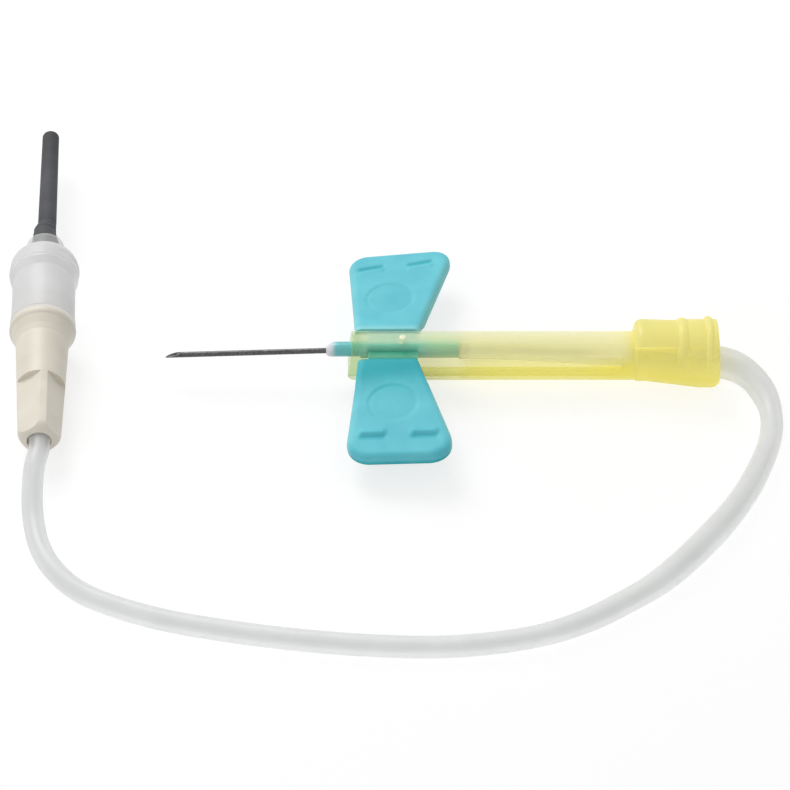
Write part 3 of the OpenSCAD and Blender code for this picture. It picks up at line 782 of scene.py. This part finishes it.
# The luer axis, along which the adapter and the sleeve stand; s is the distance from the adapter's end face
LUER_START = Vector((-46.6, 4.55, 3.925))
LUER_WAY = Vector((-0.069733, 0.997222, 0.026177))
LUER_SIDE = Vector((math.cos(math.radians(4)), math.sin(math.radians(4)), 0))
LUER_UP = LUER_SIDE.cross(LUER_WAY)
SLEEVE_SEAT = 13.0
SLEEVE_LENGTH = 22.2
SLEEVE_FOOT_R = 1.6
SLEEVE_RECESS = 1.4
SLEEVE_FOOT_TO = 3.7
SLEEVE_FOOT_FADE = 5.3
SLEEVE_LOW_R = 1.14
SLEEVE_HIGH_R = 1.03
SLEEVE_TIP_R = 0.45
SLEEVE_LOW_SHIFT = 0.1
SLEEVE_HIGH_SHIFT = 0.26
SLEEVE_FOLDS = (3.6, 4.3, 5)
SLEEVE_FOLD_DEPTH = 0.06


def sleeve_radius(s, angle):
    """Radius at a distance from the sleeve's foot. The foot swells more on the side away from the shield."""
    plain = SLEEVE_LOW_R + (SLEEVE_HIGH_R - SLEEVE_LOW_R) * s / SLEEVE_LENGTH
    swell = 1 - smoothstep(SLEEVE_FOOT_TO, SLEEVE_FOOT_FADE, s)
    lopsided = smoothstep(SLEEVE_RECESS, SLEEVE_FOOT_TO, s)
    swell *= 1 - lopsided * (0.5 + 0.5 * math.cos(angle))
    radius = plain + (SLEEVE_FOOT_R - plain) * swell
    radius -= sum(SLEEVE_FOLD_DEPTH * bell(s - fold, 0.3) for fold in SLEEVE_FOLDS)
    left = SLEEVE_LENGTH - s
    return radius - rounded_drop(left, SLEEVE_TIP_R)


def make_sleeve():
    last = SLEEVE_LENGTH - SLEEVE_TIP_R
    places = [0.08 * i for i in range(81)]
    places += [places[80] + (last - places[80]) * i / 50 for i in range(1, 51)]
    places += [last + SLEEVE_TIP_R * math.sin(math.radians(a)) for a in range(6, 91, 6)]
    rings = []
    for s in places:
        shift = SLEEVE_LOW_SHIFT + (SLEEVE_HIGH_SHIFT - SLEEVE_LOW_SHIFT) * s / SLEEVE_LENGTH
        shift *= smoothstep(SLEEVE_RECESS, SLEEVE_FOOT_TO, s)
        centre = LUER_START + (SLEEVE_SEAT + s) * LUER_WAY + shift * LUER_SIDE
        rings.append((centre * MM, (LUER_UP, LUER_SIDE), lambda a, s=s: sleeve_radius(s, a - math.pi / 2) * MM))
    sleeve = turned("rubber_sleeve_soft", rings, 48)
    sleeve.data.materials.append(rubber)
    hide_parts("rubber_sleeve")
    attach(sleeve, "adapter")
    return sleeve


sleeve = make_sleeve()


# Thread: a low round ridge that winds about the adapter's widest part and fades out at both ends
THREAD_R = 4.0
THREAD_RIDGE_R = 0.16
THREAD_FROM = 8.35
THREAD_PITCH = 1.15
THREAD_TURNS = 1.3
THREAD_START = math.radians(-20)


def make_thread():
    count = 130
    rings = []
    for i in range(count + 1):
        t = i / count
        a = THREAD_START + 2 * math.pi * THREAD_TURNS * t
        out = math.cos(a) * LUER_SIDE + math.sin(a) * LUER_UP
        centre = LUER_START + (THREAD_FROM + THREAD_PITCH * THREAD_TURNS * t) * LUER_WAY + THREAD_R * out
        radius = THREAD_RIDGE_R * smoothstep(-0.02, 0.12, t) * (1 - smoothstep(0.88, 1.02, t))
        rings.append((centre * MM, (out, LUER_WAY), lambda k, r=radius: r * MM))
    thread = turned("adapter_thread", rings, 12)
    thread.data.materials.append(adapter_plastic)
    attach(thread, "adapter")
    return thread


thread = make_thread()


# World and lamps: a white studio at a plain level
WORLD_LEVEL = 0.5
KEY_POWER = 0.85
KEY_PLACE = Vector((-140, 240, 300)) * MM
KEY_SIZE = 220 * MM
FILL_POWER = 0.16
FILL_PLACE = Vector((-250, -200, 180)) * MM
FILL_SIZE = 200 * MM
FLOOR_SIZE = 3.0


def seen_directly(tree):
    """One where the ray comes from the camera or through a gloss or a clear piece, and nothing otherwise."""
    path = tree.nodes.new("ShaderNodeLightPath")
    total = path.outputs["Is Camera Ray"]
    for name in ("Is Glossy Ray", "Is Transmission Ray"):
        add = tree.nodes.new("ShaderNodeMath")
        add.operation = "ADD"
        add.use_clamp = True
        tree.links.new(total, add.inputs[0])
        tree.links.new(path.outputs[name], add.inputs[1])
        total = add.outputs[0]
    return total


def make_world():
    world = bpy.data.worlds.new("studio")
    world.use_nodes = True
    bpy.context.scene.world = world
    tree = world.node_tree
    light = tree.nodes["Background"]
    light.inputs["Strength"].default_value = WORLD_LEVEL
    light.inputs["Color"].default_value = (1, 1, 1, 1)
    white = tree.nodes.new("ShaderNodeBackground")
    white.inputs["Color"].default_value = (1, 1, 1, 1)
    mix = tree.nodes.new("ShaderNodeMixShader")
    tree.links.new(seen_directly(tree), mix.inputs["Fac"])
    tree.links.new(light.outputs[0], mix.inputs[1])
    tree.links.new(white.outputs[0], mix.inputs[2])
    tree.links.new(mix.outputs[0], tree.nodes["World Output"].inputs["Surface"])


def make_floor():
    half = FLOOR_SIZE / 2
    floor = mesh_object("floor", [(-half, -half, 0), (half, -half, 0), (half, half, 0), (-half, half, 0)],
                        [(0, 1, 2, 3)], smooth=False)
    material = bpy.data.materials.new("floor")
    material.use_nodes = True
    tree = material.node_tree
    tree.nodes.remove(tree.nodes["Principled BSDF"])
    bounce = tree.nodes.new("ShaderNodeBsdfDiffuse")
    bounce.inputs["Color"].default_value = (0.85, 0.85, 0.85, 1)
    shown = tree.nodes.new("ShaderNodeBsdfDiffuse")
    shown.inputs["Color"].default_value = (0.3, 0.3, 0.3, 1)
    glow = tree.nodes.new("ShaderNodeEmission")
    glow.inputs["Strength"].default_value = 0.74
    both = tree.nodes.new("ShaderNodeAddShader")
    tree.links.new(shown.outputs[0], both.inputs[0])
    tree.links.new(glow.outputs[0], both.inputs[1])
    mix = tree.nodes.new("ShaderNodeMixShader")
    tree.links.new(seen_directly(tree), mix.inputs["Fac"])
    tree.links.new(bounce.outputs[0], mix.inputs[1])
    tree.links.new(both.outputs[0], mix.inputs[2])
    tree.links.new(mix.outputs[0], tree.nodes["Material Output"].inputs["Surface"])
    floor.data.materials.append(material)


def make_lamp(name, power, place, size):
    data = bpy.data.lights.new(name, "AREA")
    data.energy = power
    data.size = size
    lamp = bpy.data.objects.new(name, data)
    bpy.context.scene.collection.objects.link(lamp)
    lamp.location = place
    lamp.rotation_euler = (-place).to_track_quat("-Z", "Y").to_euler()


make_world()
make_floor()
make_lamp("key", KEY_POWER, KEY_PLACE, KEY_SIZE)
make_lamp("fill", FILL_POWER, FILL_PLACE, FILL_SIZE)
bpy.context.scene.view_settings.view_transform = "Standard"
